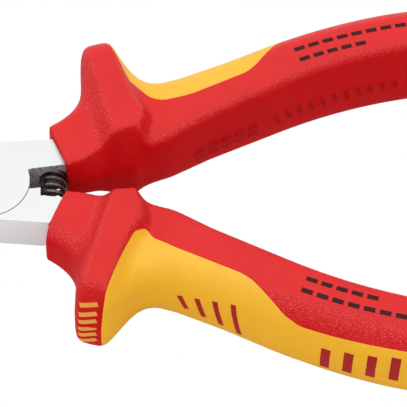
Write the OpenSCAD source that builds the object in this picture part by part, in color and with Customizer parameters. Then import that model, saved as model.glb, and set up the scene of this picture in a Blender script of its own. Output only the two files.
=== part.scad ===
// Insulated diagonal cutting pliers with an opening spring, 160 mm long.
//
// Frame: millimetres, Z is the pivot axis, the origin lies on it in the head's lower flat face.
// The jaws point to -X and the handles to +X. The right half has its handle at +Y and its jaw at -Y.
// Both halves are drawn at rest, where the spring holds the jaws open; turning each by open_angle / 2 closes them.

/* [Head] */
// Thickness of the steel head and of the tangs
head_t = 10; // [9.5:0.1:10]
// Radius of the two discs that lap at the pivot
joint_r = 9.9; // [9.6:0.1:10]
// Half the width of the head beside the pivot
head_half_w = 10.6; // [10.5:0.1:10.8]
// Distance from the pivot axis to the tips of the closed jaws
jaw_reach = 30; // [28:0.5:31]
// Angle between rest, where the jaws are open, and closed
open_angle = 15; // [12:0.5:15]
// Height of the cutting edges above the head's middle plane
edge_z = -2.4; // [-3:0.1:-1.5]

/* [Pivot] */
// Radius of the rivet's shank
rivet_r = 3.5; // [3:0.1:4]
// Radius of the rivet's flush ends
rivet_head_r = 5.2; // [4.6:0.1:5.4]

/* [Spring] */
// Distance from the pivot axis to the spring's axis
spring_x = 15.2; // [15:0.1:15.3]
// Outside radius of the spring
spring_r = 3.1; // [2.8:0.1:3.1]
// Radius of the spring's wire
spring_wire_r = 0.5; // [0.4:0.05:0.5]
// Number of turns of wire
spring_turns = 6; // [5:0.5:6]

/* [Handles] */
// Angle of a handle to the X axis at rest
handle_angle = 24.9; // [24:0.1:25.5]
// Length of a grip along its own axis
grip_len = 118; // [112:1:120]
// Length of the straight part of a handle, from the front of the grip
straight_len = 55; // [52:1:60]
// Radius of the bend behind the straight part
bend_r = 132; // [125:1:140]
// Half the thickness of a grip where the palm lies
grip_half_t = 12.9; // [12.4:0.1:13.2]
// How far the back of a grip stands from its axis
grip_out = 8.4; // [8:0.1:8.8]
// How far the finger side of a grip stands from its axis
grip_in = 7.1; // [6.8:0.1:7.3]
// Height of the hand guard's horn above the back of a grip
horn_rise = 16.8; // [15:0.2:17]
// Thickness of the soft yellow pad
pad_t = 1.6; // [1.2:0.1:1.8]

/* [Tether eye] */
// Radius of the hole for a safety lanyard
tether_hole_r = 3.2; // [3:0.1:3.4]
// Thickness of the tether eye
tether_t = 7; // [6:0.5:8]

/* [Hidden] */

half_t = head_t / 2;
half_open = open_angle / 2;
eps = 0.01;
fine = 96;
fit = 0.03;             // radial clearance of the running fit and of the moulded joints
lap_gap = 0.02;         // between the two lapped discs
joint_gap = 0.2;        // between a disc's rim and the shoulder round it

// Where a handle's axis enters its grip.
grip_x0 = 17;
grip_y0 = 6.7;

// The steel at the mouth of a grip, measured from the handle's axis.
neck_in = 2.3;
neck_out = 5.5;
tang_half_w = 2.5;
tang_taper = 15;
tang_len = grip_len - 14;

// The spring's seat: the steel is cut back for it behind the joint, and its ends stand in counterbores.
recess_front = [10.4, 3.45];
land_corners = [[12.5, 4.1], [12.5, 1.9], [9, 2.4]];
seat_depth = 0.9;
seat_y = 4.5;
pin_r = 1.55;
pin_sunk = 2;
pin_out = 2.7;

steel = [0.86, 0.87, 0.88];
black_steel = [0.12, 0.11, 0.12];
grip_red = [0.85, 0.12, 0.12];
pad_yellow = [0.97, 0.70, 0.16];

function clamp01(t) = max(0, min(1, t));
function smooth(t) = let (c = clamp01(t)) c * c * (3 - 2 * c);
function rise(u, from, to) = smooth((u - from) / (to - from));
function bell(t) = abs(t) < 1 ? (1 + cos(180 * t)) / 2 : 0;
function power(v, e) = sign(v) * pow(abs(v), e);

// ---- The handle's axis: straight, then an arc that turns back towards the X axis. ----

function heading(u) = handle_angle - max(0, u - straight_len) / bend_r * 180 / PI;
function axis_x(u) = grip_x0 + min(u, straight_len) * cos(handle_angle)
    + bend_r * (sin(handle_angle) - sin(heading(u)));
function axis_y(u) = grip_y0 + min(u, straight_len) * sin(handle_angle)
    + bend_r * (cos(heading(u)) - cos(handle_angle));
function on_plan(u, side) = [axis_x(u) - side * sin(heading(u)), axis_y(u) + side * cos(heading(u))];
function in_space(u, p) = let (q = on_plan(u, p[0])) [q[0], q[1], p[1]];

// ---- Cross-sections of a grip, as (distance outwards, height) about the handle's axis. ----

horn_top = [18, 22.6];
horn_foot = [6.8, 27.2];
flange_u = 17.5;
heel_u = 15.5;
heel_rise = 1.9;
fillet_rise = 1.8;
palm_rise = 0.8;
finger_fall = 1.5;
collar_out = 7.9;
collar_in = 3.7;
collar_half_t = 6.8;
waist_half_t = 11.2;
end_round = 8;
full_end = 72;
eye_end = 45;

function horn(u) = rise(u, horn_foot[0], horn_top[0]) - rise(u, horn_top[1], horn_foot[1]);
function end_taper(u) = sqrt(max(0.0025, 1 - pow(max(0, u - grip_len + end_round) / end_round, 2)));
function out_of(u) = collar_out + fillet_rise * rise(u, 1, 9) + horn_rise * horn(u)
    + (grip_out - collar_out - fillet_rise) * rise(u, 26, 48) + palm_rise * rise(u, 55, 90);
function in_of(u) = collar_in + (grip_in - collar_in) * rise(u, 0, 12) + heel_rise * bell((u - heel_u) / 8)
    - finger_fall * rise(u, 30, 90);
function thick_of(u) = collar_half_t + (waist_half_t - collar_half_t) * rise(u, 0, 20)
    + 1.8 * bell((u - flange_u) / 6.5) + (grip_half_t - waist_half_t) * rise(u, 24, 70);
// The guard stands a little higher on the upper face than on the lower one.
function lift_of(u) = 1.1 * bell((u - flange_u) / 9);
function middle_of(u) = 2.1 * (1 - rise(u, 0, 14));
function inner_power(u) = 5 - 1.7 * rise(u, 2, 14);
function outer_power(u) = 5 - 2.7 * rise(u, 2, 14);

function section_point(u, turn, grow) =
    let (m = middle_of(u), k = end_taper(u), outer = cos(turn) >= 0)
    let (reach = outer ? out_of(u) - m : in_of(u) + m, e = 2 / (outer ? outer_power(u) : inner_power(u)))
    [m + (reach * k + grow) * power(cos(turn), e), lift_of(u) + (thick_of(u) * k + grow) * power(sin(turn), e)];

// ---- Lofts ----

// Joins rings of equally many points into one closed solid. Each ring runs from its outer side downwards.
// A solid that lies in another one's bed has its skin split the other way, so that both have the same facets there.
module loft(rings, other_way = false) {
    n = len(rings[0]);
    last = len(rings) - 1;
    middle = n * len(rings);
    sides = [
        for (i = [0:last - 1], j = [0:n - 1])
            let (a = i * n + j, b = i * n + (j + 1) % n, c = a + n, d = b + n)
            for (f = other_way ? [[a, b, d], [a, d, c]] : [[a, b, c], [b, d, c]]) f
    ];
    front = [for (j = [0:n - 1]) [middle, (j + 1) % n, j]];
    back = [for (j = [0:n - 1]) [middle + 1, last * n + j, last * n + (j + 1) % n]];
    polyhedron(
        concat([for (r = rings) each r], [centre(rings[0]), centre(rings[last])]),
        concat(sides, front, back), convexity = 6
    );
}

function centre(ring) = [for (p = ring) 1] * ring / len(ring);
function reversed(list) = [for (i = [len(list) - 1:-1:0]) list[i]];
function placed(u, ring) = [for (p = ring) in_space(u, p)];

// ---- The steel under a grip, and the rectangular sleeve moulded on to it. ----

tang_stations = concat([for (u = [0:3:tang_taper]) u], [for (u = [tang_taper + 9:9:tang_len - 4]) u]);

function tang_out(u) = neck_out + (tang_half_w - neck_out) * rise(u, 0, tang_taper);
function tang_in(u) = neck_in + (tang_half_w - neck_in) * rise(u, 0, tang_taper);

// A rectangle round the steel, larger by wall. Each side is divided, so that it can be joined to a grip's ring.
mid_v = 0.5;
split_bed = [3, 5, 3];
split_skin = [6, 7, 6];
function walk(from, to, steps) = [for (i = [0:steps - 1]) from + (to - from) * i / steps];
function box_ring(u, wall) = let (o = tang_out(u) + wall, i = tang_in(u) + wall, h = half_t + wall) concat(
    walk([mid_v, -h], [-i, -h], split_skin[0]), walk([-i, -h], [-i, h], split_skin[1]),
    walk([-i, h], [mid_v, h], split_skin[2]), [[mid_v, h]],
    walk([mid_v + 0.2, h], [o, h], split_bed[0]), walk([o, h], [o, -h], split_bed[1]),
    walk([o, -h], [mid_v + 0.2, -h], split_bed[2]), [[mid_v + 0.2, -h]]
);
function box_rings(wall, from, to) = [
    for (u = concat([from], [for (s = tang_stations) if (s > from + 1 && s < to - 1) s], [to]))
        placed(u, box_ring(u, wall))
];

grip_front = 0.7;
sleeve_wall = 0.8;
sleeve_front = grip_front - 0.25;

module inner_sleeve() color(pad_yellow) loft(concat(
    reversed(box_rings(fit, sleeve_front, tang_len + fit)),
    box_rings(sleeve_wall, sleeve_front, tang_len + sleeve_wall)
));

// ---- The soft pad on the back of a grip. It starts in a step at the guard and narrows half way along. ----

pad_front = 20.6;
pad_back = grip_len - 9;
pad_round = 6;
pad_step = [46, 62];
pad_edges = [1.6, 2.4, 7.4];
pad_gap = 0.05;
skin_points = 20;
bed_points = 12;
flush = 0.02;

// Distance from the axis to the pad's edge on the upper and lower faces, and the turn at which the section has it.
function pad_edge(u) = pad_edges[0] + (pad_edges[1] - pad_edges[0]) * rise(u, pad_front, 30)
    + (pad_edges[2] - pad_edges[1]) * rise(u, pad_step[0], pad_step[1]);
function pad_reach(u, gap) = acos(pow((pad_edge(u) + gap) / out_of(u), outer_power(u) / 2))
    * sqrt(max(0.04, 1 - pow(max(0, u - pad_back + pad_round) / pad_round, 2)));
function bed(u, gap, depth) = let (r = pad_reach(u, gap))
    [for (j = [0:bed_points - 1]) section_point(u, r - 2 * r * j / (bed_points - 1), -depth)];
function skin(u) = let (r = pad_reach(u, 0))
    [for (j = [0:skin_points - 1]) section_point(u, -r - (360 - 2 * r) * j / (skin_points - 1), 0)];

pad_stations = concat(
    [pad_front], [for (u = [ceil(pad_front):1:horn_foot[1]]) u],
    [for (u = [horn_foot[1] + 3:4.5:pad_back - pad_round - 2]) u],
    [for (t = [0:15:90]) pad_back - pad_round + pad_round * sin(t)]
);

module palm_pad() color(pad_yellow) loft([
    for (u = pad_stations) placed(u, concat(bed(u, pad_gap, 0), reversed(bed(u, pad_gap, pad_t - fit))))
], other_way = true);

// Stations along a shell, each with the depth of the pad's bed. The end is rounded up to end_turn degrees.
function shell_stations(end_turn) = concat(
    [for (u = [grip_front:1.3:horn_foot[0]]) [u, flush]],
    [for (u = [horn_foot[0] + 1:1:pad_front - 0.5]) [u, flush]],
    [[pad_front - 2 * pad_gap, flush], [pad_front - pad_gap, pad_t]],
    [for (u = pad_stations) [u, pad_t]],
    [[pad_back + pad_gap, pad_t], [pad_back + 2 * pad_gap, flush]],
    [for (t = [0:end_turn / 4:end_turn]) [grip_len - end_round + end_round * sin(t), flush]]
);

module grip_shell(end_turn) color(grip_red) loft(concat(
    reversed(box_rings(sleeve_wall + fit, grip_front, tang_len + sleeve_wall + fit)),
    [for (s = shell_stations(end_turn)) placed(s[0], concat(skin(s[0]), bed(s[0], 0, s[1])))]
));

// ---- The forged halves. ----

// Plan of the neck and tang at rest, for the right half. The shoulder is the radial line that meets the other jaw.
shoulder_angle = 95;
shoulder_gap = 0.3;

module neck_plan(land) {
    along = concat(tang_stations, [tang_len]);
    outer = [for (u = along) on_plan(u, tang_out(u))];
    inner = [for (i = [len(along) - 1:-1:0]) on_plan(along[i], -tang_in(along[i]))];
    polygon(concat(
        [[0, 0], head_half_w * [cos(shoulder_angle), sin(shoulder_angle)]],
        outer, inner, land ? land_corners : [recess_front]
    ));
}

// Plan of the jaw when closed: under the X axis, between the cutting line and an arc.
jaw_arc_x = -4;
jaw_root_w = 10.9;
tip_half_w = 2.6;
edge_gap = 0.02;
jaw_arc_r = (pow(jaw_reach + jaw_arc_x, 2) + pow(jaw_root_w - tip_half_w, 2)) / (2 * (jaw_root_w - tip_half_w));

// Angle of the jaw's shoulder to the X axis when closed, where it stands clear of the other half's shoulder.
jaw_shoulder = shoulder_angle + shoulder_gap + half_open;

module jaw_plan() difference() {
    intersection() {
        translate([jaw_arc_x, jaw_arc_r - jaw_root_w]) circle(r = jaw_arc_r, $fn = 4 * fine);
        // The cutting line, the blunt tip, and the radial line of the shoulder.
        polygon([
            [0, -edge_gap], [-jaw_reach, -edge_gap], [-jaw_reach, -jaw_root_w - 1],
            20 * [cos(jaw_shoulder), -sin(jaw_shoulder)]
        ]);
    }
    translate([-joint_r - 1.2, 0]) circle(r = 1.5, $fn = fine);
}

// Ground faces of a jaw: a broad one above and a narrow one below meet in the cutting edge.
top_bevel = 30;
low_bevel = 24;
bevel_end = -joint_r - 1.3;
runout_slope = 40;

module cut_prism(profile, slope) intersection() {
    translate([-jaw_reach - 5, -edge_gap, edge_z]) rotate([90, 0, 90]) linear_extrude(jaw_reach + 5)
        polygon(profile);
    translate([bevel_end, 0, edge_z]) rotate([0, slope, 0]) translate([-80, -40, -60]) cube([80, 80, 120]);
}

// The space ground away above and below the cutting edge, with the jaw at -Y.
module jaw_bevels() {
    high = head_t + 2;
    cut_prism([[0, 0], [2, 0], [2, high], [-high * tan(top_bevel), high]], -runout_slope);
    cut_prism([[0, 0], [-high * tan(low_bevel), -high], [2, -high], [2, 0]], runout_slope);
}

module arm(land) color(steel) difference() {
    union() {
        translate([0, 0, -half_t]) linear_extrude(head_t) {
            neck_plan(land);
            rotate(half_open) jaw_plan();
        }
        translate([0, 0, -half_t]) cylinder(r = joint_r, h = head_t, $fn = fine);
    }
    // Room for the other half's disc, under this one's.
    translate([0, 0, -half_t - 1]) cylinder(r = joint_r + joint_gap, h = half_t + 1 + lap_gap / 2, $fn = fine);
    seat_bores();
}

module rivet_bore(gap) {
    translate([0, 0, -half_t - 1]) cylinder(r = rivet_r + gap, h = head_t + 2, $fn = fine);
    countersink = rivet_head_r - rivet_r;
    translate([0, 0, half_t - countersink])
        cylinder(r1 = rivet_r + gap, r2 = rivet_head_r + gap + eps, h = countersink + eps, $fn = fine);
}

module at_seat() translate([spring_x, seat_y, 0]) rotate([-90, 0, 0]) children();

module seat_bores() at_seat() {
    translate([0, 0, -3]) cylinder(r = spring_r + 0.15, h = 3 + seat_depth, $fn = fine);
    cylinder(r = pin_r, h = seat_depth + pin_sunk, $fn = fine);
}

module right_arm() color(steel) difference() {
    arm(false);
    rivet_bore(0);
    rotate(half_open) jaw_bevels();
}

module left_arm() color(steel) difference() {
    rotate([180, 0, 0]) difference() {
        arm(true);
        rivet_bore(fit);
    }
    mirror([0, 1, 0]) rotate(half_open) jaw_bevels();
}

// ---- Small parts of the joint. ----

module pivot_rivet() color(steel) {
    countersink = rivet_head_r - rivet_r;
    translate([0, 0, -half_t]) cylinder(r = rivet_r, h = head_t, $fn = fine);
    for (s = [0, 1]) mirror([0, 0, s]) translate([0, 0, half_t - countersink])
        cylinder(r1 = rivet_r, r2 = rivet_head_r, h = countersink, $fn = fine);
}

module spring_pin() color(steel) at_seat() {
    translate([0, 0, seat_depth - pin_out]) cylinder(r = pin_r, h = pin_out + pin_sunk, $fn = fine);
}

module opening_spring() color(black_steel) {
    half_len = seat_y + seat_depth - 0.3 - spring_wire_r;
    mean_r = spring_r - spring_wire_r;
    steps = 22;
    wire_points = 8;
    last = spring_turns * steps;
    loft([
        for (i = [0:last])
            let (a = 360 * i / steps, y = half_len * (2 * i / last - 1))
            [for (j = [0:wire_points - 1])
                let (w = -360 * j / wire_points, r = mean_r + spring_wire_r * cos(w))
                [spring_x + r * cos(a), y + spring_wire_r * sin(w), r * sin(a)]]
    ]);
}

// A lanyard eye moulded on the flat rear end of the left handle.
eye_u = grip_len - end_round + end_round * sin(eye_end);
eye_reach = 9;
eye_r = 6.2;
eye_root_w = 9;
eye_side = 1.2;

module at_eye(beyond) translate([axis_x(eye_u), axis_y(eye_u), 0]) rotate(heading(eye_u))
    translate([beyond, eye_side, 0]) children();

module tether_eye() color(grip_red) difference() {
    union() {
        at_eye(eye_reach) cylinder(r = eye_r, h = tether_t, center = true, $fn = fine);
        at_eye(eye_reach / 2) cube([eye_reach, eye_root_w, tether_t], center = true);
    }
    at_eye(eye_reach) cylinder(r = tether_hole_r, h = 2 * tether_t, center = true, $fn = fine);
}

// ---- Assembly ----

module lifted() translate([0, 0, half_t]) children();
module as_left() mirror([0, 1, 0]) children();

lifted() right_arm();
lifted() left_arm();
lifted() pivot_rivet();
lifted() opening_spring();
lifted() spring_pin();  // right_spring_pin
lifted() as_left() spring_pin();  // left_spring_pin
lifted() inner_sleeve();  // right_inner_sleeve
lifted() as_left() inner_sleeve();  // left_inner_sleeve
lifted() grip_shell(full_end);  // right_grip_shell
lifted() as_left() grip_shell(eye_end);  // left_grip_shell
lifted() palm_pad();  // right_palm_pad
lifted() as_left() palm_pad();  // left_palm_pad
lifted() as_left() tether_eye();
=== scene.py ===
import math

import bmesh
import bpy
import numpy as np
from mathutils import Matrix, Vector

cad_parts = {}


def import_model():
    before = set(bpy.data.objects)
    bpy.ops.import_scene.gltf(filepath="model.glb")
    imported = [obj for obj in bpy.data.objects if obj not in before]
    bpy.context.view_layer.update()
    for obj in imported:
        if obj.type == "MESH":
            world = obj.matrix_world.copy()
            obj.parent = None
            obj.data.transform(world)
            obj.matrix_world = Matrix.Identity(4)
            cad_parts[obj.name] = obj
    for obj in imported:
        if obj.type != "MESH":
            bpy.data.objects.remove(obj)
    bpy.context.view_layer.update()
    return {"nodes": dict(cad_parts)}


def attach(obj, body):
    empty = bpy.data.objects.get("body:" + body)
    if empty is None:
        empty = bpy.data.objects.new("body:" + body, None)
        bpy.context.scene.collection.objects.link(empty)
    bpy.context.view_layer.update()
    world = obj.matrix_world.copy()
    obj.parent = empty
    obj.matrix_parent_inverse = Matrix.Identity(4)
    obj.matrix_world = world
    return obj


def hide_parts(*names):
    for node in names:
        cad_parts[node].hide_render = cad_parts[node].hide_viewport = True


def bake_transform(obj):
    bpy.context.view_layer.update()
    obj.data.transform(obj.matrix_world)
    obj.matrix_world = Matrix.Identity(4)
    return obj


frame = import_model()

# The looks of insulated diagonal cutting pliers: moulded grips with soft pads, plain marks and the opening
# spring. Lengths are millimetres in the frame's axes until MM turns them into metres.
#
# A point of a grip is given by its station (u, along the handle's axis from the collar), how far it lies
# outwards from that axis, and its height over the head's middle plane, or by its station and its turn: the
# angle round the axis, 0 on the grip's back, 90 on top and 180 on the finger side.

MM = 0.001

# ---- Measures shared with the frame ----

MID_Z = 5.0  # height of the head's middle plane
RIGHT, LEFT = 1, -1  # the right half's grip lies at +Y, the left half's at -Y
BODY = {RIGHT: "right_half", LEFT: "left_half"}
WORD = {RIGHT: "right", LEFT: "left"}

GRIP_START = (17.0, 6.7)  # where a handle's axis enters its grip, in plan
HANDLE_ANGLE = math.radians(24.9)
STRAIGHT = 55.0  # straight part of the handle's axis
BEND_R = 132.0  # radius of the bend behind it
GRIP_LEN = 118.0
END_ROUND = 8.0

NECK_IN, NECK_OUT, TANG_HALF_W = 2.3, 5.5, 2.5  # the steel under a grip, from the handle's axis
TANG_TAPER, TANG_LEN, TANG_HALF_T = 15.0, 104.0, 5.0
SLEEVE_FRONT, SLEEVE_WALL = 0.45, 0.8  # the yellow sleeve's front end, and its wall

SPRING_X, SPRING_HALF_LEN = 15.2, 5.1
RECESS_FRONT, RECESS_HALF_W = 9.4, 5.6  # the spring's recess in the steel, in plan

# ---- The grip's profiles: each is a line through a few points (station, size), smoothed ----

TABLE_STEP = 0.1
TABLE_U = np.arange(-3.0, GRIP_LEN + 6.0, TABLE_STEP)


def smooth_line(points, width=0.8):
    """A polyline rounded off by a gaussian of that width, as a table over TABLE_U."""
    along, size = zip(*points)
    reach = np.arange(-4 * width, 4 * width + TABLE_STEP / 2, TABLE_STEP)
    weight = np.exp(-0.5 * (reach / width) ** 2)
    pad = len(reach) // 2
    line = np.pad(np.interp(TABLE_U, along, size), pad, mode="edge")
    return np.convolve(line, weight / weight.sum(), mode="valid")[: len(TABLE_U)]


def at(table, u):
    return np.interp(u, TABLE_U, table)


# How far the back of the grip stands out: the collar, the guard's horn from station 8 to 24, the palm.
BACK = smooth_line([
    (0, 9.0), (3.5, 9.6), (6.2, 10.6), (7.8, 11.9), (9.0, 13.4), (9.8, 16.0), (10.6, 20.6), (11.2, 23.0),
    (12.2, 24.4), (13.4, 24.5), (17.6, 23.4), (18.9, 22.6), (20.0, 21.1), (21.2, 18.7), (22.5, 15.8),
    (24, 13.3), (25.8, 11.3), (28.3, 9.9), (33, 9.0), (45, 8.3), (60, 8.3), (85, 9.1), (118, 9.1),
], 0.7)
# How far the finger side stands in, with the guard's heel at station 18.
FRONT = smooth_line([
    (0, 4.3), (4, 5.6), (9, 6.2), (12.4, 7.0), (15, 8.0), (17.8, 8.8), (18.8, 8.7), (20.5, 8.4),
    (22.5, 8.5), (26, 8.8), (30, 8.3), (36, 7.5), (60, 6.5), (90, 5.7), (118, 5.9),
])
# How high the upper face stands, and how deep the lower one lies. The guard's band is the highest part.
UPPER = smooth_line([
    (0, 6.8), (4, 7.0), (8, 7.8), (9.6, 8.6), (11.0, 10.4), (12.2, 12.4), (13.0, 12.9), (18.4, 14.0),
    (19.0, 13.6), (20.2, 11.2), (21.6, 9.7), (23.4, 9.6), (28, 10.5), (35, 10.9), (60, 11.9), (118, 12.2),
], 0.5)
LOWER = smooth_line([
    (0, 6.8), (4, 7.0), (8, 8.0), (12.2, 11.0), (15, 11.8), (18.2, 12.4), (18.8, 12.3), (20.5, 11.3),
    (23, 10.8), (35, 11.5), (60, 12.5), (118, 12.7),
], 0.7)
# The sections' middle, where back and finger side meet: the collar sits outwards of the axis.
MIDDLE = smooth_line([(0, 2.1), (3, 1.9), (12, 0), (118, 0)], 1.5)

# A grip's two faces differ, and the left grip has them turned over: the ridged face is the right grip's
# upper one and the left grip's lower one, and the plain face is the other.
# How square the sections are (2 is an ellipse), on the back of either face and on the finger side.
RIDGED_BACK_POWER = smooth_line([(0, 6), (18, 6), (21, 3.4), (24, 2.65), (118, 2.65)], 1.0)
PLAIN_BACK_POWER = smooth_line([
    (0, 2.7), (9, 2.8), (12, 5.5), (18, 5.5), (21, 3.4), (24, 2.6), (70, 2.1), (118, 2.1),
], 1.0)
UPPER_FRONT_POWER = smooth_line([
    (0, 5), (3, 5), (9, 4.2), (12, 4.5), (18.6, 4.6), (21.0, 4.4), (27, 5), (118, 5),
], 0.6)
LOWER_FRONT_POWER = smooth_line([(0, 5), (3, 5), (12, 3.4), (118, 3.3)], 1.5)

# The ridged face's finger side falls off in one slope, from a ridge at this share of the section's width.
RIDGE = smooth_line([
    (0, 0.84), (4, 0.74), (9, 0.58), (12, 0.50), (15, 0.46), (18, 0.52), (19.5, 0.66), (22, 0.92), (26, 0.97),
    (118, 0.97),
], 0.6)
# The plain face's horn ends in such a slope too. Elsewhere the share is the foot's own, so that the cut is
# upright and takes off less than a hundredth of the width.
SLOPE_FOOT = 1.05  # of the section's width, at the middle plane
TIP = smooth_line([
    (0, SLOPE_FOOT), (8, SLOPE_FOOT), (11, 0.84), (18, 0.84), (20.5, SLOPE_FOOT), (118, SLOPE_FOOT),
], 0.6)
RIDGE_HEIGHT = 0.97  # of the section's height
CREASE = 30  # how sharply a slope meets the top

# The guard leans back by this much for each millimetre outwards.
LEAN = smooth_line([(0, 0.06), (3, 0.06), (9, 0.16), (23, 0.16), (45, 0), (118, 0)], 2.0)
# The wall behind the guard isn't straight: it bulges back near the axis and comes forward at the heel.
WALL_OUT = (-9, -7, -4.5, -2.6, -0.6, 2, 4, 8, 12)
WALL_BACK = (-1.6, -1.4, 0.2, 1.4, 1.9, 1.2, 0.6, 0.2, 0)
WALL = smooth_line([(0, 0), (15, 0), (18.5, 1), (21, 1), (27, 0), (118, 0)], 1.0)  # how much of that counts


def heading(u):
    return HANDLE_ANGLE - np.maximum(0, u - STRAIGHT) / BEND_R


def axis_point(u):
    """The handle's axis in plan at station u: straight, then an arc."""
    h = heading(u)
    run = np.minimum(u, STRAIGHT)
    x = GRIP_START[0] + run * math.cos(HANDLE_ANGLE) + BEND_R * (math.sin(HANDLE_ANGLE) - np.sin(h))
    y = GRIP_START[1] + run * math.sin(HANDLE_ANGLE) + BEND_R * (np.cos(h) - math.cos(HANDLE_ANGLE))
    return x, y


def end_taper(u):
    """How much of its full section the grip has left, over its rounded end."""
    past = np.maximum(0, u - GRIP_LEN + END_ROUND) / END_ROUND
    return np.sqrt(np.maximum(1e-4, 1 - past ** 2))


def section(u, turn, side, grow=0.0):
    """A point of the section, grown by so much, as (outwards, height): superellipses cut by slopes."""
    taper = end_taper(u)
    middle = at(MIDDLE, u) * taper
    c, s = np.cos(turn), np.sin(turn)
    back = c >= 0
    ridged = side * s >= 0
    width = np.where(back, at(BACK, u) - at(MIDDLE, u), at(FRONT, u) + at(MIDDLE, u)) * taper + grow
    height = np.where(s >= 0, at(UPPER, u), at(LOWER, u)) * taper + grow
    power = np.where(
        back,
        np.where(ridged, at(RIDGED_BACK_POWER, u), at(PLAIN_BACK_POWER, u)),
        np.where(s >= 0, at(UPPER_FRONT_POWER, u), at(LOWER_FRONT_POWER, u)),
    )
    round_part = ((np.abs(c) / width) ** power + (np.abs(s) / height) ** power) ** (1 / power)
    ridge = np.where(back, at(TIP, u), at(RIDGE, u))
    slope = np.abs(c) / (SLOPE_FOOT * width) + np.abs(s) * (1 - ridge / SLOPE_FOOT) / (RIDGE_HEIGHT * height)
    slope = np.where(back != ridged, slope, 0)
    reach = (round_part ** CREASE + slope ** CREASE) ** (-1 / CREASE)
    return middle + reach * c, reach * s


def place(u, out, z, side, lean=True):
    """A point at station u, that far outwards and that high, in the frame's axes."""
    x, y = axis_point(u)
    h = heading(u)
    shift = at(LEAN, u) * out + at(WALL, u) * np.interp(out, WALL_OUT, WALL_BACK) if lean else 0.0
    px = x + shift * np.cos(h) - out * np.sin(h)
    py = y + shift * np.sin(h) + out * np.cos(h)
    return np.stack(np.broadcast_arrays(px, side * py, z + MID_Z), -1)


def skin(u, turn, side, grow=0.0):
    """A point of the grip's surface in the frame's axes."""
    out, z = section(u, turn, side, grow)
    return place(u, out, z, side)


# ---- Meshes ----


def new_mesh(name, points, faces, material, sharp):
    """An object from points in millimetres, its faces turned outwards and smooth up to the sharp angle."""
    mesh = bpy.data.meshes.new(name)
    mesh.from_pydata([tuple(p) for p in np.asarray(points) * MM], [], faces)
    bm = bmesh.new()
    bm.from_mesh(mesh)
    bmesh.ops.recalc_face_normals(bm, faces=bm.faces)
    bm.to_mesh(mesh)
    bm.free()
    mesh.polygons.foreach_set("use_smooth", [True] * len(mesh.polygons))
    mesh.set_sharp_from_angle(angle=math.radians(sharp))
    mesh.materials.append(material)
    piece = bpy.data.objects.new(name, mesh)
    bpy.context.scene.collection.objects.link(piece)
    return piece


def loft(rings):
    """Points and faces of a closed solid through rings of equally many points, its ends closed by a fan."""
    count = len(rings[0])
    middle = len(rings) * count
    last = middle - count
    points = np.concatenate(list(rings) + [rings[0].mean(0)[None], rings[-1].mean(0)[None]])
    faces = []
    for start in range(0, last, count):
        for j in range(count):
            after = (j + 1) % count
            faces.append((start + j, start + after, start + count + after, start + count + j))
    faces += [(middle, (j + 1) % count, j) for j in range(count)]
    faces += [(middle + 1, last + j, last + (j + 1) % count) for j in range(count)]
    return points, faces


def patch(top, bottom):
    """Points and faces of a thin closed sheet between two grids of equal shape (rows, columns, 3)."""
    rows, cols = top.shape[:2]
    below = rows * cols
    points = np.concatenate([top.reshape(-1, 3), bottom.reshape(-1, 3)])
    index = np.arange(below).reshape(rows, cols)
    quads = np.stack([index[:-1, :-1], index[:-1, 1:], index[1:, 1:], index[1:, :-1]], -1).reshape(-1, 4)
    faces = quads.tolist() + (below + quads[:, ::-1]).tolist()
    rim = np.concatenate([index[0], index[1:, -1], index[-1, -2::-1], index[-2:0:-1, 0]]).tolist()
    faces += [(a, below + a, below + b, b) for a, b in zip(rim, rim[1:] + rim[:1])]
    return points, faces


def joined(parts):
    """Several (points, faces) as one."""
    points, faces, start = [], [], 0
    for part_points, part_faces in parts:
        points.append(part_points)
        faces += [tuple(start + k for k in face) for face in part_faces]
        start += len(part_points)
    return np.concatenate(points), faces


# ---- Materials ----


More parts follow.
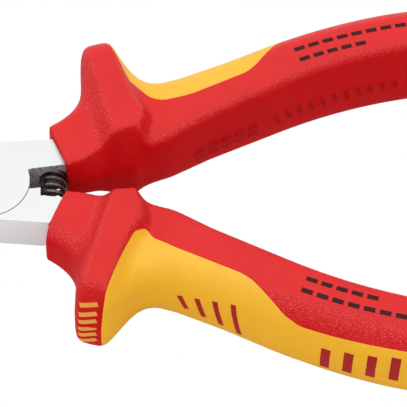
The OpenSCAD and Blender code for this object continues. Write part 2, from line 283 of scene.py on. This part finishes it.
class Nodes:
    """A small helper that adds nodes to a material and links them."""

    def __init__(self, name):
        self.material = bpy.data.materials.new(name)
        self.material.use_nodes = True
        self.tree = self.material.node_tree
        self.shader = self.tree.nodes["Principled BSDF"]

    def add(self, kind, inputs=None, **settings):
        node = self.tree.nodes.new(kind)
        for key, value in settings.items():
            setattr(node, key, value)
        for key, value in (inputs or {}).items():
            self.set(node, key, value)
        return node

    def set(self, node, key, value):
        if isinstance(value, bpy.types.NodeSocket):
            self.tree.links.new(value, node.inputs[key])
        else:
            node.inputs[key].default_value = value

    def shade(self, key, value):
        """Sets an input of the material's shader."""
        self.set(self.shader, key, value)

    def where(self):
        """The place on the piece, in its own coordinates."""
        return self.add("ShaderNodeTexCoord").outputs["Object"]

    def facing_up(self):
        """1 where the surface faces up, 0 where it is upright."""
        normal = self.add("ShaderNodeNewGeometry").outputs["Normal"]
        return self.add("ShaderNodeSeparateXYZ", {"Vector": normal}).outputs["Z"]

    def noise(self, size, detail=3.0):
        """Noise whose features are size millimetres across."""
        return self.add("ShaderNodeTexNoise", {
            "Vector": self.where(), "Scale": 1 / (size * MM), "Detail": detail,
        }).outputs["Fac"]

    def ramp(self, value, start, end, low=0.0, high=1.0):
        """Takes the value from start to end over to low to high, and keeps it between them."""
        return self.add("ShaderNodeMapRange", {
            "Value": value, "From Min": start, "From Max": end, "To Min": low, "To Max": high,
        }).outputs["Result"]

    def between(self, value, low, high):
        """Spreads a noise value, mostly within 0.3 to 0.7, over low to high."""
        return self.ramp(value, 0.3, 0.7, low, high)

    def maths(self, operation, first, second=0.0):
        return self.add("ShaderNodeMath", {0: first, 1: second}, operation=operation).outputs[0]

    def mix(self, share, a, b):
        """Blends two colours. The numbers below are the mix node's sockets for colours."""
        node = self.add("ShaderNodeMix", data_type="RGBA")
        for socket, value in {0: share, 6: a, 7: b}.items():
            self.set(node, socket, value)
        return node.outputs[2]

    def bump(self, height, depth):
        """A bump whose height input of 1 stands for depth millimetres."""
        self.shade("Normal", self.add("ShaderNodeBump", {
            "Height": height, "Distance": depth * MM, "Strength": 1.0,
        }).outputs["Normal"])


def grey(level):
    return (level, level, level, 1)


def scaled(colour, factor, plus=0.0):
    """A lighter or darker colour of the same kind."""
    return tuple(min(1, factor * part + plus) for part in colour[:3]) + (1,)


def plastic(name, top, side, roughness, grain, depth, glint=0.0):
    """Satin moulded plastic with a bumpy grain, coloured by top and side as painted shade, and with a painted
    glint that lightens grain specks on the shoulders.
    """
    n = Nodes(name)
    up = n.facing_up()
    fine = n.noise(grain, detail=2.0)
    turned = n.ramp(up, 0.97, 0.85)
    lit = n.ramp(up, 0.28, 0.62)
    speck = n.ramp(fine, 0.53, 0.64)
    # Painted glint: the share of a lighter copy of the top colour, on grain specks where the surface slopes.
    painted_glint_share = n.maths("MULTIPLY", n.maths("MULTIPLY", turned, lit), n.maths("MULTIPLY", speck, glint))
    # Painted shade: faces that look up take the top colour, upright ones the side colour.
    body = n.mix(n.ramp(up, 0.95, 0.55), top, side)
    worn = n.mix(0.05, body, grey(0.0))
    patches = n.between(n.noise(9.0), 0.0, 1.0)
    n.shade("Base Color", n.mix(painted_glint_share, n.mix(patches, body, worn), scaled(top, 1.2, 0.16)))
    n.shade("Roughness", n.between(fine, roughness - 0.05, roughness + 0.05))
    n.shade("Specular IOR Level", n.ramp(up, 0.2, 0.9, 0.04, 0.28))
    n.bump(fine, depth)
    return n.material


def steel(name, colour, roughness):
    """Satin chrome brushed along X, its upright sides painted brighter as a painted reflection. The spring's
    recess walls are painted dark: the skin left by forging, and painted shade.
    """
    n = Nodes(name)
    where = n.where()
    drawn_out = n.add("ShaderNodeMapping", {"Vector": where, "Scale": (1.0, 12.0, 12.0)}).outputs["Vector"]
    brushed = n.add("ShaderNodeTexNoise", {"Vector": drawn_out, "Scale": 1 / (6 * MM), "Detail": 4.0})
    brushed = brushed.outputs["Fac"]
    xyz = n.add("ShaderNodeSeparateXYZ", {"Vector": where}).outputs
    behind = n.maths("GREATER_THAN", xyz["X"], RECESS_FRONT * MM)
    inside = n.maths("LESS_THAN", n.maths("ABSOLUTE", xyz["Y"]), RECESS_HALF_W * MM)
    wall = n.maths("LESS_THAN", n.facing_up(), 0.5)
    recess = n.maths("MULTIPLY", n.maths("MULTIPLY", behind, inside), wall)
    # Painted shade: the recess walls get a dark mottled grey, partly the skin left by forging and partly the
    # shade that falls in the recess.
    forged_skin_and_painted_shade = n.mix(n.between(n.noise(0.5), 0, 1), grey(0.28), grey(0.84))
    # Painted reflection: faces turned away from up are coloured 1.38 times brighter than faces that look up.
    chrome_with_painted_sheen = n.mix(wall, colour, scaled(colour, 1.38))
    n.shade("Base Color", n.mix(recess, chrome_with_painted_sheen, forged_skin_and_painted_shade))
    n.shade("Metallic", 1.0)
    n.shade("Roughness", n.maths("ADD", n.between(brushed, roughness - 0.05, roughness + 0.05), recess))
    n.bump(brushed, 0.004)
    return n.material


def wire(name):
    """Black oxide spring wire with drawing marks."""
    n = Nodes(name)
    mottled = n.noise(0.6)
    n.shade("Base Color", n.mix(n.between(mottled, 0, 1), (0.07, 0.058, 0.058, 1), (0.19, 0.165, 0.165, 1)))
    n.shade("Metallic", 0.85)
    n.shade("Roughness", n.between(mottled, 0.12, 0.24))
    n.bump(n.noise(0.15), 0.004)
    return n.material


def print_ink(name, colour):
    """Matt pad print, a little worn."""
    n = Nodes(name)
    n.shade("Base Color", n.mix(n.between(n.noise(0.4), 0.85, 1.0), scaled(colour, 1.6), colour))
    n.shade("Roughness", n.between(n.noise(0.3), 0.5, 0.65))
    n.shade("Specular IOR Level", 0.15)
    return n.material


# Each side colour is painted shade for faces that stand upright, and glint sets how strongly grain specks are
# lightened as a painted glint.
RED = plastic(
    "red_grip_plastic", top=(0.73, 0.013, 0.013, 1), side=(0.68, 0.005, 0.007, 1),
    roughness=0.42, grain=0.26, depth=0.12, glint=0.5,
)
# A darker red for the raised inner ribs and dashes: painted shade, standing in for the shade on the moulded
# relief.
RED_PAINTED_SHADE = plastic(
    "red_rib_painted_shade_plastic", top=(0.52, 0.006, 0.008, 1), side=(0.44, 0.002, 0.004, 1),
    roughness=0.42, grain=0.26, depth=0.12,
)
YELLOW = plastic(
    "yellow_soft_plastic", top=(0.96, 0.52, 0.045, 1), side=(1.0, 0.52, 0.032, 1),
    roughness=0.45, grain=0.4, depth=0.03, glint=0.15,
)
CORE = plastic(
    "yellow_core_plastic", top=(0.90, 0.46, 0.030, 1), side=(0.90, 0.46, 0.026, 1),
    roughness=0.5, grain=0.6, depth=0.010,
)
CHROME = steel("chromed_steel", (0.655, 0.667, 0.67, 1), 0.38)
GROUND = steel("rivet_steel", (0.64, 0.65, 0.655, 1), 0.33)
BLACK_WIRE = wire("spring_steel")
RED_INK = print_ink("red_ink", (0.42, 0.009, 0.012, 1))
DARK_INK = print_ink("dark_ink", (0.045, 0.008, 0.010, 1))
YELLOW_INK = print_ink("yellow_ink", (0.82, 0.38, 0.06, 1))

# ---- Grips ----

TURNS = np.radians(np.arange(0, 360, 1.5))  # of the points of a ring
MOUTH = 0.2  # station of the collar's front edge
LIP = 0.45  # radius of the rounded edge there
GAP = 0.05  # round the steel and the sleeve
BORE_STEP = 4.0  # between rings in the bore


def box_ring(u, wall, side):
    """A ring round the steel at station u, a rectangle larger than it by wall."""
    taper = np.clip(u / TANG_TAPER, 0, 1)
    taper = taper * taper * (3 - 2 * taper)
    out = NECK_OUT + (TANG_HALF_W - NECK_OUT) * taper + wall
    inner = NECK_IN + (TANG_HALF_W - NECK_IN) * taper + wall
    high = TANG_HALF_T + wall
    middle = (out - inner) / 2
    half = (out + inner) / 2
    c, s = np.cos(TURNS), np.sin(TURNS)
    reach = 1 / np.maximum(np.abs(c) / half, np.abs(s) / high)
    return place(u, middle + reach * c, reach * s, side, lean=False)


def grip_stations():
    """Stations of the outer rings: close together over collar and guard, wider over the palm."""
    guard_end = 34
    front = np.arange(MOUTH + LIP, guard_end, 0.25)
    palm = np.arange(guard_end, GRIP_LEN - END_ROUND, 1.0)
    end = GRIP_LEN - END_ROUND * (1 - np.sin(np.radians(np.arange(0, 90, 5))))
    return np.concatenate([front, palm, end])


def grip(side):
    """The red moulding: a sock over the sleeve, with a collar, a hand guard and a long handle."""
    bore = SLEEVE_WALL + GAP
    rings = [box_ring(u, bore, side) for u in np.arange(TANG_LEN + bore, 1.0, -BORE_STEP)]
    rings.append(box_ring(SLEEVE_FRONT - GAP, bore, side))
    rings += [box_ring(u, GAP, side) for u in (SLEEVE_FRONT - 2 * GAP, MOUTH + 2 * GAP)]
    rings.append(box_ring(MOUTH, 3 * GAP, side))
    for a in np.radians(np.arange(75, 0, -15)):
        rings.append(skin(MOUTH + LIP * (1 - math.sin(a)), TURNS, side, -LIP * (1 - math.cos(a))))
    rings += [skin(u, TURNS, side) for u in grip_stations()]
    points, faces = loft(rings)
    piece = new_mesh(f"{WORD[side]}_grip", points, faces, RED, sharp=60)
    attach(piece, BODY[side])
    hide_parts(f"{WORD[side]}_grip_shell")


# ---- Pads ----

# The pad's edge along a face, measured outwards from the axis, by the grip that has this face on top.
PAD_EDGE = {
    LEFT: smooth_line([
        (0, 5), (19.3, 5), (20.0, 1.6), (20.7, 0.4), (21.5, 0.6), (24, 1.6), (30, 2.2), (47, 2.4), (50, 3.0),
        (59, 6.6), (63, 7.3), (118, 7.4),
    ], 0.5),
    RIGHT: smooth_line([
        (0, 9), (21.6, 9), (22.4, 6.5), (23.4, 4.4), (24.8, 2.8), (27.3, 1.3), (31.2, 0.5), (34, 0.1),
        (48, 0.1), (51, 1.1), (54, 2.9), (59, 6.0), (63, 7.2), (118, 7.4),
    ], 0.8),
}
PAD_FRONT = {LEFT: (19.8, 0.06), RIGHT: (22.0, 0.18)}  # station at the axis, and how much it comes forward
PAD_BACK, PAD_ROUND = 110.0, 6.0  # station of the rear end, and its rounding
PAD_PROUD, PAD_SUNK = 0.05, 0.8  # over and under the grip's surface
PAD_SHOULDER, PAD_GROOVE = 0.02, -0.10  # next to the edge and at the edge, over the grip's surface
PAD_ROWS, PAD_END_ROWS, PAD_COLS = 150, 10, 121
FINER_FRONT, FINER_EDGES = 1.5, 1.15  # powers that draw the rows and columns together there
FRONT_STEPS = 6  # repeats until the front edge stays put


def pad_turn(u, side, face):
    """The turn at which the pad's edge lies, on the upper (1) or lower (-1) face."""
    shown = side * face
    width = at(BACK, u) - at(MIDDLE, u)
    height = at(UPPER if face > 0 else LOWER, u)
    power = at(RIDGED_BACK_POWER if shown > 0 else PLAIN_BACK_POWER, u)
    edge = at(PAD_EDGE[shown], u) - at(MIDDLE, u)
    rise = height * np.maximum(0, 1 - np.abs(edge / width) ** power) ** (1 / power)
    past = np.maximum(0, u - PAD_BACK + PAD_ROUND) / PAD_ROUND
    return np.arctan2(rise, edge) * np.sqrt(np.maximum(0, 1 - past ** 2))


def pad_spread(u, across, side):
    """The turn at a place across the pad, from -1 at its lower edge to 1 at its upper edge."""
    return across * np.where(across >= 0, pad_turn(u, side, 1), pad_turn(u, side, -1))


def pad_front(across, side):
    """Stations of the pad's front edge, which slants differently on the two faces."""
    station, slant = PAD_FRONT[side]
    lower_station, lower_slant = PAD_FRONT[-side]
    u = np.full(len(across), station)
    for _ in range(FRONT_STEPS):
        turn = pad_spread(u, across, side)
        out = section(u, turn, side)[0]
        share = (1 + np.sin(turn)) / 2
        u = share * (station - slant * out) + (1 - share) * (lower_station - lower_slant * out)
    return u


def pad_grid(side):
    """Stations and turns over the pad: rows run from its front edge to its rounded rear end."""
    across = np.linspace(-1, 1, PAD_COLS)
    across = np.sign(across) * (1 - (1 - np.abs(across)) ** FINER_EDGES)
    front = pad_front(across, side)
    back = PAD_BACK - 1e-3  # a hair before the point where the pad has no width
    along = np.linspace(0, 1, PAD_ROWS)[:, None] ** FINER_FRONT
    body = front + (back - PAD_ROUND - front) * along
    quarter = np.linspace(0, math.pi / 2, PAD_END_ROWS)[1:, None]
    rear = back - PAD_ROUND * (1 - np.sin(quarter))
    u = np.concatenate([body, np.tile(rear, (1, PAD_COLS))])
    return u, pad_spread(u, across, side)


def pad(side):
    """The soft yellow pad on the back of a grip, let into the red, with a fine groove round it."""
    u, turn = pad_grid(side)
    rows, cols = u.shape
    i, j = np.mgrid[0:rows, 0:cols]
    from_edge = np.minimum(np.minimum(i, rows - 1 - i), np.minimum(j, cols - 1 - j))
    grow = np.select([from_edge == 0, from_edge == 1], [PAD_GROOVE, PAD_SHOULDER], PAD_PROUD)
    points, faces = patch(skin(u, turn, side, grow), skin(u, turn, side, -PAD_SUNK))
    piece = new_mesh(f"{WORD[side]}_pad", points, faces, YELLOW, sharp=60)
    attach(piece, BODY[side])
    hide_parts(f"{WORD[side]}_palm_pad")


# ---- Marks: plain bars and strokes, raised a hair above the surface ----

MARK_SUNK = 0.15  # under the surface
PRINT_PROUD, RIM_PROUD, RIB_PROUD = 0.05, 0.06, 0.3  # over it
STROKE_ROWS, STROKE_COLS = 14, 5


def stroke(start, end, width, side, proud):
    """A straight bar on the skin between two (station, turn in degrees) points, width millimetres wide."""
    (start_u, start_turn), (end_u, end_turn) = start, end
    t = np.linspace(0, 1, STROKE_ROWS)
    u = start_u + (end_u - start_u) * t
    turn = np.radians(start_turn + (end_turn - start_turn) * t)
    across = np.linspace(-0.5, 0.5, STROKE_COLS) * width
    step = 0.01
    middle = skin(u, turn, side)
    per_u = (skin(u + step, turn, side) - middle) / step
    per_turn = (skin(u, turn + step, side) - middle) / step
    run = np.gradient(middle, axis=0)
    run /= np.linalg.norm(run, axis=1)[:, None]
    normal = np.cross(per_u, per_turn)
    normal /= np.linalg.norm(normal, axis=1)[:, None]
    sideways = np.cross(normal, run)
    # The steps in station and turn that together make one millimetre sideways on the surface.
    uu, ut, tt = (per_u ** 2).sum(1), (per_u * per_turn).sum(1), (per_turn ** 2).sum(1)
    by_u, by_turn = (per_u * sideways).sum(1), (per_turn * sideways).sum(1)
    whole = uu * tt - ut ** 2
    side_u, side_turn = (tt * by_u - ut * by_turn) / whole, (uu * by_turn - ut * by_u) / whole
    u = u[:, None] + side_u[:, None] * across
    turn = turn[:, None] + side_turn[:, None] * across
    return patch(skin(u, turn, side, proud), skin(u, turn, side, -MARK_SUNK))


def marks(name, side, strokes, proud, material):
    points, faces = joined([stroke(*s, side, proud) for s in strokes])
    piece = new_mesh(name, points, faces, material, sharp=40)
    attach(piece, BODY[side])


def all_marks():
    """Each stroke is a start and an end as (station, turn in degrees), and a width."""
    rim_bars = [((12.8, a - 2), (17.0, a + 2), 1.25) for a in (-14, -8, -2, 4, 10, 17)]
    marks("left_guard_bars", LEFT, rim_bars, RIM_PROUD, YELLOW_INK)
    hatch = [((34 + 4.5 * k, 14 + 7 * k), (36 + 4.5 * k, -14 - 7 * k), 1.3) for k in range(4)]
    palm_bars = [((69.5 + 5 * k, 15 + 6 * k), (69.5 + 5 * k, -36 + 6 * k), 2.2) for k in range(4)]
    marks("left_pad_strokes", LEFT, hatch + palm_bars, PAD_PROUD + PRINT_PROUD, RED_INK)
    long_line = [((61 + 3.6 * k, 84), (63.6 + 3.6 * k, 84), 1.1) for k in range(8)]
    short_line = [((61 + 3.6 * k, 99), (63.6 + 3.6 * k, 99), 1.1) for k in range(5)]
    low_dashes = [((32 + 3.4 * k, a), (34.4 + 3.4 * k, a), 0.9) for a in (187, 205) for k in range(5)]
    low_bars = [((53 + 3.2 * k, 183), (53.8 + 3.2 * k, 206), 0.9) for k in range(11)]
    for side in (RIGHT, LEFT):
        word = WORD[side]
        marks(f"{word}_dashes", side, long_line + short_line, PRINT_PROUD, DARK_INK)
        # The ribs take the darker red, painted shade.
        marks(f"{word}_inner_ribs", side, low_dashes + low_bars, RIB_PROUD, RED_PAINTED_SHADE)


# ---- The opening spring ----

COIL_R, WIRE_R = 2.75, 0.55  # to the wire's middle, and the wire's own
COILS = 6.0
RING_STEPS, WIRE_SIDES = 40, 14
CLOSED_COIL = 0.9  # of a turn, wound close at each end
CLOSED_PITCH = 2.04 * WIRE_R  # rise over a whole close turn


def spring():
    """A coil of round wire with closed ends, standing between the two halves."""
    t = np.linspace(0, 1, int(COILS * RING_STEPS) + 1)
    closed = CLOSED_COIL / COILS
    closed_rise = CLOSED_COIL * CLOSED_PITCH
    open_part = np.clip((t - closed) / (1 - 2 * closed), 0, 1)
    y = -SPRING_HALF_LEN + np.minimum(t, closed) / closed * closed_rise
    y += open_part * 2 * (SPRING_HALF_LEN - closed_rise)
    y += np.maximum(t - 1 + closed, 0) / closed * closed_rise
    angle = 2 * math.pi * COILS * t
    centre = np.stack([SPRING_X + COIL_R * np.cos(angle), y, MID_Z + COIL_R * np.sin(angle)], -1)
    out = np.stack([np.cos(angle), np.zeros_like(angle), np.sin(angle)], -1)
    along = np.gradient(centre, axis=0)
    along /= np.linalg.norm(along, axis=1)[:, None]
    up = np.cross(along, out)
    w = np.linspace(0, 2 * math.pi, WIRE_SIDES, endpoint=False)
    circle = np.cos(w)[:, None] * out[:, None] + np.sin(w)[:, None] * up[:, None]
    rings = centre[:, None] + WIRE_R * circle
    points, faces = loft(rings)
    piece = new_mesh("spring_coil", points, faces, BLACK_WIRE, sharp=60)
    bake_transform(piece)
    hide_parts("opening_spring")


# ---- The CAD nodes that stay ----


def finish_node(node, material, bevel, segments=3):
    """Gives a kept node its material and breaks its edges."""
    piece = frame["nodes"][node]
    piece.data.materials.clear()
    piece.data.materials.append(material)
    edge = piece.modifiers.new("broken_edges", "BEVEL")
    edge.width = bevel * MM
    edge.segments = segments
    edge.limit_method = "ANGLE"
    edge.angle_limit = math.radians(35)
    edge.harden_normals = True


def kept_nodes():
    for word in ("right", "left"):
        finish_node(f"{word}_arm", CHROME, 0.22)
        finish_node(f"{word}_spring_pin", GROUND, 0.2)
        finish_node(f"{word}_inner_sleeve", CORE, 0.1)
    finish_node("pivot_rivet", GROUND, 0.08)
    finish_node("tether_eye", RED, 1.2, segments=4)


# ---- Stage: floor, light and camera ----

FLOOR_Z = -8.3 * MM  # under the grips
FLOOR_HALF = 1.5
DOME_TOP = Vector((-0.10, 0.15, 0.92)).normalized()  # towards its brightest part
DOME_DIM, DOME_BRIGHT = 0.52, 1.5  # strength at a right angle to that and beyond, and towards it
DOME_SPREAD = 0.85  # cosine of the angle within which the dome is brightest

CAMERA_TARGET = Vector((0.050385, -0.002711, MID_Z * MM))
CAMERA_DISTANCE = 0.5985
CAMERA_AZIMUTH = math.radians(2.027)
CAMERA_ELEVATION = math.radians(56.303)
CAMERA_ROLL = math.radians(-2.133)
FOCAL_WIDTHS = 6.2973  # focal length over the picture's width
SENSOR = 36.0


def floor():
    """A floor that is pure white to the camera, and an ordinary pale one to all other rays."""
    mesh = bpy.data.meshes.new("floor")
    corners = [(x * FLOOR_HALF, y * FLOOR_HALF, FLOOR_Z) for x, y in ((-1, -1), (1, -1), (1, 1), (-1, 1))]
    mesh.from_pydata(corners, [], [(0, 1, 2, 3)])
    n = Nodes("white_floor")
    n.shade("Base Color", n.mix(n.between(n.noise(300), 0.78, 0.82), grey(0.0), grey(1.0)))
    n.shade("Roughness", 0.9)
    glow = n.add("ShaderNodeEmission", {"Color": grey(1.0), "Strength": 1.0})
    seen = n.add("ShaderNodeLightPath").outputs["Is Camera Ray"]
    both = n.add("ShaderNodeMixShader", {0: seen, 1: n.shader.outputs[0], 2: glow.outputs[0]})
    n.set(n.tree.nodes["Material Output"], "Surface", both.outputs[0])
    mesh.materials.append(n.material)
    sheet = bpy.data.objects.new("floor", mesh)
    bpy.context.scene.collection.objects.link(sheet)


def world():
    """A bright dome, lighter towards its top."""
    dome = bpy.data.worlds.new("studio")
    dome.use_nodes = True
    tree = dome.node_tree
    tree.nodes.clear()
    where = tree.nodes.new("ShaderNodeTexCoord")
    height = tree.nodes.new("ShaderNodeVectorMath")
    height.operation = "DOT_PRODUCT"
    height.inputs[1].default_value = DOME_TOP
    ramp = tree.nodes.new("ShaderNodeMapRange")
    ramp.interpolation_type = "SMOOTHSTEP"
    ramp.inputs["From Max"].default_value = DOME_SPREAD
    ramp.inputs["To Min"].default_value = DOME_DIM
    ramp.inputs["To Max"].default_value = DOME_BRIGHT
    light = tree.nodes.new("ShaderNodeBackground")
    out = tree.nodes.new("ShaderNodeOutputWorld")
    tree.links.new(where.outputs["Generated"], height.inputs[0])
    tree.links.new(height.outputs["Value"], ramp.inputs["Value"])
    tree.links.new(ramp.outputs["Result"], light.inputs["Strength"])
    tree.links.new(light.outputs[0], out.inputs[0])
    bpy.context.scene.world = dome


def area_light(name, where, target, size, power):
    lamp = bpy.data.lights.new(name, "AREA")
    lamp.shape = "SQUARE"
    lamp.size = size
    lamp.energy = power
    holder = bpy.data.objects.new(name, lamp)
    holder.location = where
    holder.rotation_euler = (Vector(target) - Vector(where)).to_track_quat("-Z", "Y").to_euler()
    bpy.context.scene.collection.objects.link(holder)


def camera():
    """Looks down on the pliers from the left grip's side, from far away, and rolled a little."""
    level = Vector((math.sin(CAMERA_AZIMUTH), math.cos(CAMERA_AZIMUTH), 0))
    forward = math.cos(CAMERA_ELEVATION) * level + Vector((0, 0, -math.sin(CAMERA_ELEVATION)))
    right = Vector((level.y, -level.x, 0))
    up = right.cross(forward)
    c, s = math.cos(CAMERA_ROLL), math.sin(CAMERA_ROLL)
    turned = Matrix((c * right - s * up, s * right + c * up, -forward)).transposed()
    lens = bpy.data.cameras.new("camera")
    lens.sensor_width = SENSOR
    lens.lens = SENSOR * FOCAL_WIDTHS
    lens.clip_start, lens.clip_end = 0.01, 10
    holder = bpy.data.objects.new("camera", lens)
    holder.matrix_world = Matrix.Translation(CAMERA_TARGET - CAMERA_DISTANCE * forward) @ turned.to_4x4()
    bpy.context.scene.collection.objects.link(holder)
    bpy.context.scene.camera = holder


for half in (RIGHT, LEFT):
    grip(half)
    pad(half)
all_marks()
spring()
kept_nodes()
floor()
world()
area_light("overhead", where=(0.05, 0.2, 1.1), target=(0.06, 0, 0), size=0.9, power=1.5)
camera()
bpy.context.scene.view_settings.view_transform = "Standard"
